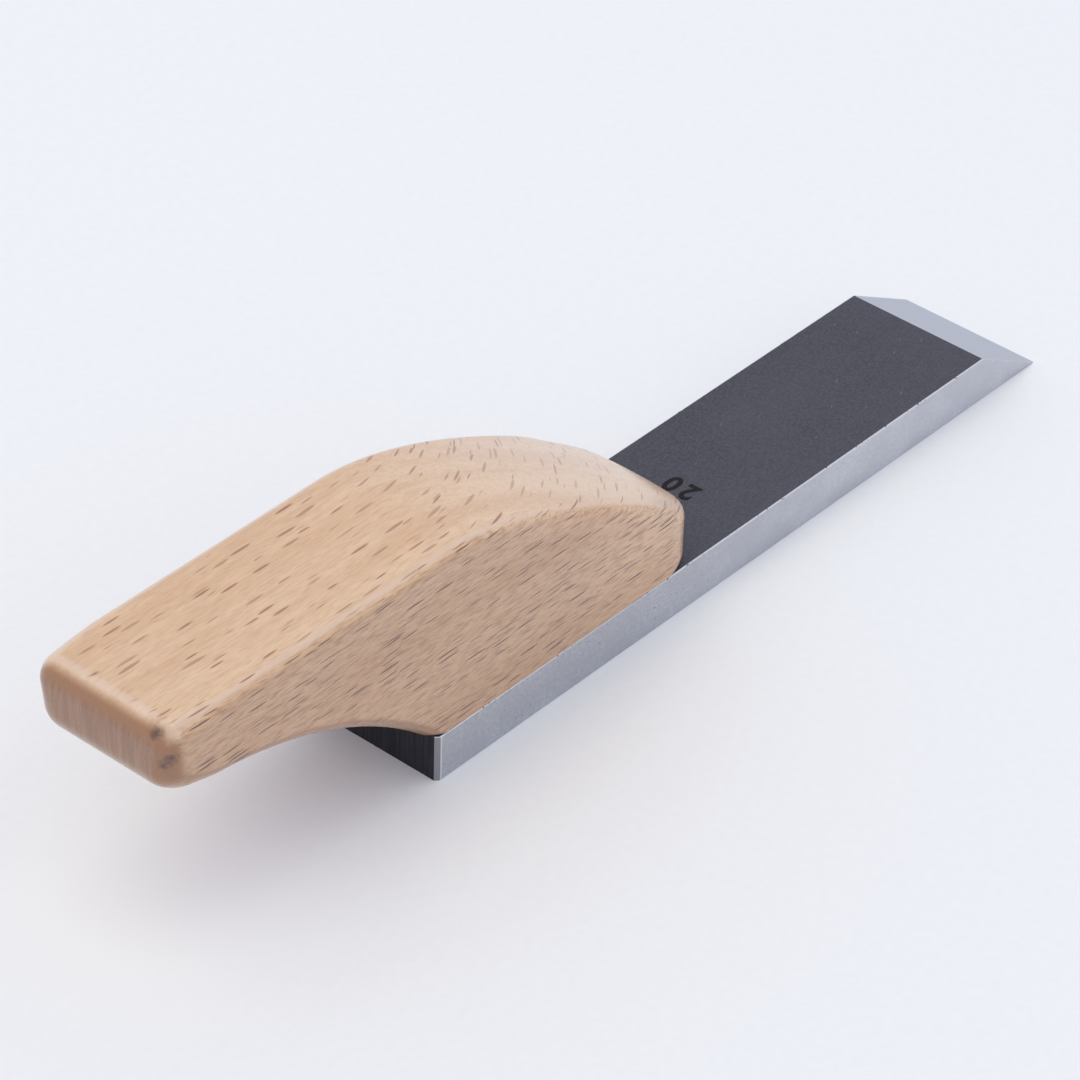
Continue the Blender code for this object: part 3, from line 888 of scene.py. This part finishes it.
def beech_finish(handle):
    """Oiled beech: growth rings, fibres, ray flecks, a darker cut end, and painted shade, light and
    highlights.
    """
    wood = Finish("oiled_beech")
    along = grain_place(wood, handle)
    rings = wood.noise(GROWTH_RINGS, at=along)
    streaks = wood.noise(STREAKS, 3.0, at=along)
    fibres = wood.noise(FIBRES, at=along)
    dashes = wood.spots(along, RAY_CELL, RAY_HALF, 0.82, 0.6, 0.7)
    layers = wood.noise(END_LAYERS)
    height = wood.parts(wood.place)[2]
    forward, sideward, upward = wood.facing()
    rearward = wood.times(forward, -1.0)
    on_side = wood.ease(sideward, 0.55, 0.9)
    upright = wood.ease(wood.math("ABSOLUTE", upward), 0.7, 0.2)

    shade = wood.math("ADD", wood.times(rings, 0.65), wood.times(streaks, 0.35))
    tone = wood.mix(wood.ease(shade, 0.38, 0.62), handle.warm, handle.pale)
    # Painted shade on upright faces, less dark where painted light lifts them round the nose and under
    # the front ridge.
    tint = wood.mix(lit_sides(wood, handle), handle.side_shade, handle.lit_side_tint)
    tone = wood.mix(upright, tone, tint, "MULTIPLY")
    stain = wood.times(wood.ease(fibres, 0.40, 0.68), wood.ease(on_side, 0.0, 1.0, 0.25, 0.6))
    tone = wood.mix(stain, tone, handle.soaked_and_shade)
    # Painted shade on the sides just above the seat.
    seat_shade = wood.times(on_side, wood.ease(height, 2.6 * BLADE_TOP, BLADE_TOP, 0.0, 0.12))
    tone = wood.mix(seat_shade, tone, handle.soaked_and_shade)

    # Painted highlight on the rounded upper edges.
    tone = wood.mix(edge_highlight(wood, rearward, sideward, upward), tone, handle.wear_and_highlight)
    # Painted shade under the arch's lower edge.
    underside_shade = wood.times(wood.ease(upward, 0.02, -0.2), wood.ease(upward, -0.98, -0.8, 0.0, 0.7))
    tone = wood.mix(underside_shade, tone, handle.soaked_and_shade)
    # Darker cut ends and rear corners: end grain, and partly painted shade.
    cut_end_and_shade = darker_ends_and_corners(wood, forward, rearward, sideward, upright)
    tone = wood.mix(cut_end_and_shade, tone, handle.soaked_and_shade)
    end_tone = wood.mix(wood.ease(layers, 0.35, 0.7, 0.0, 0.22), handle.end_grain, handle.warm)
    tone = wood.mix(wood.ease(rearward, 0.88, 0.99), tone, end_tone)

    # Flecks stay off cut edges, and off faces in the rays' plane, where they would be blots
    ray_axis = (0.0, sin(handle.ray_tilt), cos(handle.ray_tilt))
    along_rays = wood.vector("DOT_PRODUCT", wood.normal, ray_axis).outputs["Value"]
    plain = wood.times(wood.ease(rearward, 0.45, 0.1), wood.ease(cut_end_and_shade, 0.6, 0.0))
    plain = wood.times(plain, wood.ease(along_rays, 0.98, 0.92))
    flecks = wood.times(dashes, wood.times(wood.ease(on_side, 0.0, 1.0, 0.85, 1.0), plain))
    tone = wood.mix(flecks, tone, wood.mix(on_side, handle.fleck, handle.side_fleck))

    wood.set(base_color=dark_spots(wood, handle, tone), specular_ior_level=0.65)
    wood.set(coat_weight=0.7, coat_roughness=0.22, coat_ior=1.5)
    wood.set(roughness=wood.ease(fibres, 0.2, 0.8, 0.24, 0.38))
    wood.relief(wood.math("SUBTRACT", wood.times(fibres, -0.5), flecks), FIBRE_RELIEF)
    return wood.material


def ground_finish(blade):
    """Ground steel: fine lines, mottling, rear pits, a nicked worn rim with painted highlight, and
    painted shade.
    """
    steel = Finish("ground_steel")
    lines = steel.noise(GRINDING)
    mottle = steel.noise(STEEL_MOTTLE, 4.0)
    speckle = steel.noise(STEEL_SPECKLE, 3.0, 0.65)
    pits = steel.spots(steel.place, PIT_CELL, PIT_HALF, 0.7, 0.3, 0.4)
    patches = steel.ease(steel.noise(PIT_PATCHES), 0.47, 0.55)
    nicks = steel.ease(steel.noise(RIM_NICKS, 3.0), 0.61, 0.68)
    reach, _, height = steel.parts(steel.place)
    forward, sideward, upward = steel.facing()
    upright = steel.ease(sideward, 0.8, 0.9)

    marks = steel.times(pits, patches, upright, steel.ease(reach, *PITTED_RUN, 0.08, 0.9))
    # The upper rim and a strip beside the rear chamfers are worn bright and partly a painted highlight.
    rim = steel.ease(height, BLADE_TOP - 1.2 * blade.edge_break, BLADE_TOP - 0.8 * blade.edge_break)
    rim = steel.times(rim, steel.ease(forward, 0.4, 0.2))
    chamfer = blade.rear_chamfer
    corner = steel.ease(reach, BLADE_REAR + 1.6 * chamfer, BLADE_REAR + 1.2 * chamfer)
    worn = steel.math("MAXIMUM", rim, steel.times(corner, upright))
    worn = steel.times(worn, steel.ease(reach, 0.0, BLADE_REAR, 0.45, 0.85))

    dull = weighted(blade.ground, 0.74)
    tone = steel.mix(steel.ease(mottle, 0.35, 0.7, 0.3, 0.7), dull, blade.ground)
    coarse = steel.ease(reach, *COARSE_RUN, 0.5, 0.85)
    tone = steel.mix(steel.times(steel.ease(speckle, 0.40, 0.60), coarse), tone, dull)
    # Painted shade on the sides' rear half.
    tone = steel.mix(steel.ease(reach, *SHADED_RUN), tone, blade.rear_shade, "MULTIPLY")
    tone = steel.mix(steel.ease(upward, 0.78, 0.85, 0.0, 0.9), tone, blade.honed)
    # Painted shade on the rear chamfers.
    tone = steel.mix(steel.ease(forward, -0.4, -0.6, 0.0, 0.9), tone, blade.chamfer_shade)
    tone = steel.mix(worn, tone, blade.wear_and_highlight)
    tone = steel.mix(marks, tone, blade.oxide)
    tone = steel.mix(steel.times(rim, nicks), tone, blade.oxide)
    steel.set(base_color=tone, metallic=1.0)
    steel.set(roughness=steel.ease(lines, 0.3, 0.7, 0.32, 0.44))
    steel.relief(steel.math("SUBTRACT", lines, marks), GRINDING_RELIEF)
    return steel.material


def oxide_finish(blade):
    """Dark oxide skin: fine speckle, faint clouds, a few light scuffs and a lined rear end in painted
    shade.
    """
    skin = Finish("dark_oxide")
    speckle = skin.noise(OXIDE_SPECKLE, 3.0, 0.65)
    cloud = skin.noise(OXIDE_CLOUD, 3.0)
    slant = skin.rotated(skin.place, (0.0, 0.0, blade.scuff_slant))
    scuffs = skin.spots(slant, SCUFF_CELL, SCUFF_HALF, 0.45, 0.2, 0.3)
    light = weighted(blade.oxide, 2.0)
    tone = skin.mix(skin.ease(speckle, 0.36, 0.64, 0.0, 0.7), blade.oxide, light)
    tone = skin.mix(skin.ease(cloud, 0.35, 0.75, 0.0, 0.25), tone, light)
    tone = skin.mix(skin.times(scuffs, 0.5), tone, blade.scuff)
    # Painted shade on the rear end face, with dark lines.
    rearward = skin.times(skin.parts(skin.normal)[0], -1.0)
    lines = skin.ease(skin.noise(END_LINES), 0.3, 0.7)
    end_tone = skin.mix(skin.times(lines, 0.55), weighted(blade.oxide, 0.3), blade.oxide)
    tone = skin.mix(skin.ease(rearward, 0.8, 0.99), tone, end_tone)
    skin.set(base_color=tone, metallic=0.35, specular_ior_level=0.25)
    skin.set(roughness=skin.ease(speckle, 0.2, 0.8, 0.50, 0.66))
    skin.relief(speckle, OXIDE_RELIEF)
    return skin.material


def mark_finish(blade):
    """The size mark: a dull black etch with a slightly uneven tone."""
    etch = Finish("black_etch")
    speckle = etch.noise(MARK_SPECKLE)
    light = weighted(blade.mark_tone, 1.8)
    etch.set(base_color=etch.mix(etch.ease(speckle, 0.4, 0.8), blade.mark_tone, light))
    etch.set(roughness=0.8, specular_ior_level=0.1)
    return etch.material


def zinc_finish(fixing):
    """Zinc plating with a soft, cloudy sheen."""
    plate = Finish("zinc_plate")
    cloud = plate.noise(ZINC_CLOUD, 3.0)
    tone = plate.mix(plate.ease(cloud, 0.3, 0.7), weighted(fixing.zinc, 0.72), fixing.zinc)
    plate.set(base_color=tone, metallic=1.0)
    plate.set(roughness=plate.ease(cloud, 0.3, 0.7, 0.26, 0.40))
    return plate.material


def brass_finish(fixing):
    """Turned brass with faint tool lines."""
    brass = Finish("turned_brass")
    lines = brass.noise(TOOL_LINES)
    tone = brass.mix(brass.ease(lines, 0.3, 0.7), weighted(fixing.brass, 0.75), fixing.brass)
    brass.set(base_color=tone, metallic=1.0)
    brass.set(roughness=brass.ease(lines, 0.3, 0.7, 0.22, 0.36))
    brass.relief(lines, TOOL_RELIEF)
    return brass.material


def floor_finish(stage):
    """Pale matt paper with a faint tooth, and painted light under the grip's rear end."""
    paper = Finish("pale_paper")
    tooth = paper.noise(PAPER_TOOTH, 3.0)
    tone = paper.mix(paper.ease(tooth, 0.3, 0.7), weighted(stage.floor_tone, 0.985), stage.floor_tone)
    # Painted light under the grip's rear end.
    away = paper.distance(paper.place, stage.painted_light_place, (stage.painted_light_radius, stage.painted_light_radius, 1.0))
    paper.set(base_color=paper.mix(paper.ease(away, 1.0, 0.0), tone, stage.painted_light_tone))
    paper.set(roughness=0.75, specular_ior_level=0.2)
    return paper.material


def make_world(stage):
    """Light the object from all round, and show the camera and gloss a pale backdrop."""
    world = bpy.data.worlds.new("pale_surround")
    bpy.context.scene.world = world
    nodes = Nodes(world)
    light = weighted(stage.surround_tone, stage.surround)
    shown = weighted(stage.backdrop_tone, stage.backdrop)
    rays = nodes.put("LightPath").outputs
    glossy = nodes.math("MAXIMUM", rays["Is Glossy Ray"], rays["Is Transmission Ray"])
    seen = nodes.math("MAXIMUM", rays["Is Camera Ray"], glossy)
    nodes.feed(nodes.tree.nodes["Background"].inputs["Color"], nodes.mix(seen, light, shown))


def make_stage(stage):
    """Lay the floor, hang the softbox and set the camera."""
    start_clean()
    bpy.ops.mesh.primitive_plane_add(size=stage.floor_size)
    floor = name_new("floor")
    floor.data.materials.append(floor_finish(stage))
    make_world(stage)

    spot = Vector(stage.softbox_place)
    inward = (-spot).to_track_quat("-Z", "Y").to_euler()
    bpy.ops.object.light_add(type="AREA", location=spot, rotation=inward)
    lamp = name_new("softbox")
    lamp.data.size = stage.softbox_size
    lamp.data.energy = stage.softbox_power
    lamp.data.color = stage.softbox_tone

    heading = Vector((cos(stage.camera_heading), sin(stage.camera_heading), 0.0))
    view = heading * cos(stage.camera_fall) - Vector((0.0, 0.0, sin(stage.camera_fall)))
    aim = view.to_track_quat("-Z", "Y") @ Quaternion((0.0, 0.0, 1.0), stage.camera_roll)
    eye = Vector(stage.camera_target) - view * stage.camera_distance
    bpy.ops.object.camera_add(location=eye, rotation=aim.to_euler())
    camera = name_new("photo_view")
    camera.data.sensor_width = FRAME_WIDTH
    camera.data.lens = stage.lens
    bpy.context.scene.camera = camera
    bpy.context.scene.view_settings.view_transform = "Standard"


class CHISEL_OT_handle(bpy.types.Operator):
    """Model the beech handle"""

    bl_idname = "chisel.handle"
    bl_label = "Beech handle"

    def execute(self, context):
        make_handle(context.scene.chisel_handle)
        return {"FINISHED"}


class CHISEL_OT_blade(bpy.types.Operator):
    """Model the steel blade"""

    bl_idname = "chisel.blade"
    bl_label = "Steel blade"

    def execute(self, context):
        make_blade(context.scene.chisel_blade)
        return {"FINISHED"}


class CHISEL_OT_size_mark(bpy.types.Operator):
    """Write the blade's width on its top face"""

    bl_idname = "chisel.size_mark"
    bl_label = "Size mark"

    def execute(self, context):
        make_size_mark(context.scene.chisel_blade)
        return {"FINISHED"}


class CHISEL_OT_screws(bpy.types.Operator):
    """Model the two countersunk screws"""

    bl_idname = "chisel.screws"
    bl_label = "Screws"

    def execute(self, context):
        make_screws(context.scene.chisel_fixing)
        return {"FINISHED"}


class CHISEL_OT_inserts(bpy.types.Operator):
    """Model the two brass inserts"""

    bl_idname = "chisel.inserts"
    bl_label = "Inserts"

    def execute(self, context):
        make_inserts(context.scene.chisel_fixing)
        return {"FINISHED"}


class CHISEL_OT_stage(bpy.types.Operator):
    """Set the floor, the light and the camera"""

    bl_idname = "chisel.stage"
    bl_label = "Stage"

    def execute(self, context):
        make_stage(context.scene.chisel_stage)
        return {"FINISHED"}


SETTINGS = {
    "chisel_handle": HandleSettings,
    "chisel_blade": BladeSettings,
    "chisel_fixing": FixingSettings,
    "chisel_stage": StageSettings,
}
OPERATORS = (
    CHISEL_OT_handle, CHISEL_OT_blade, CHISEL_OT_size_mark,
    CHISEL_OT_screws, CHISEL_OT_inserts, CHISEL_OT_stage,
)


class CHISEL_PT_sidebar(bpy.types.Panel):
    """Lists the chisel's pieces and their settings"""

    bl_idname = "CHISEL_PT_sidebar"
    bl_label = "Flushing chisel"
    bl_space_type = "VIEW_3D"
    bl_region_type = "UI"
    bl_category = "Chisel"

    def draw(self, context):
        for operator in OPERATORS:
            self.layout.operator(operator.bl_idname)
        for holder, group in SETTINGS.items():
            column = self.layout.box().column()
            for name in group.__annotations__:
                column.prop(getattr(context.scene, holder), name)


CLASSES = (*SETTINGS.values(), *OPERATORS, CHISEL_PT_sidebar)


def register():
    """Add the classes and the scene's settings."""
    for item in CLASSES:
        bpy.utils.register_class(item)
    for holder, group in SETTINGS.items():
        setattr(bpy.types.Scene, holder, PointerProperty(type=group))


def unregister():
    """Remove the scene's settings and the classes."""
    for holder in SETTINGS:
        delattr(bpy.types.Scene, holder)
    for item in reversed(CLASSES):
        bpy.utils.unregister_class(item)


def main():
    """Make every piece and the stage."""
    register()
    bpy.ops.chisel.handle()
    bpy.ops.chisel.blade()
    bpy.ops.chisel.size_mark()
    bpy.ops.chisel.screws()
    bpy.ops.chisel.inserts()
    bpy.ops.chisel.stage()


if __name__ == "__main__":
    main()
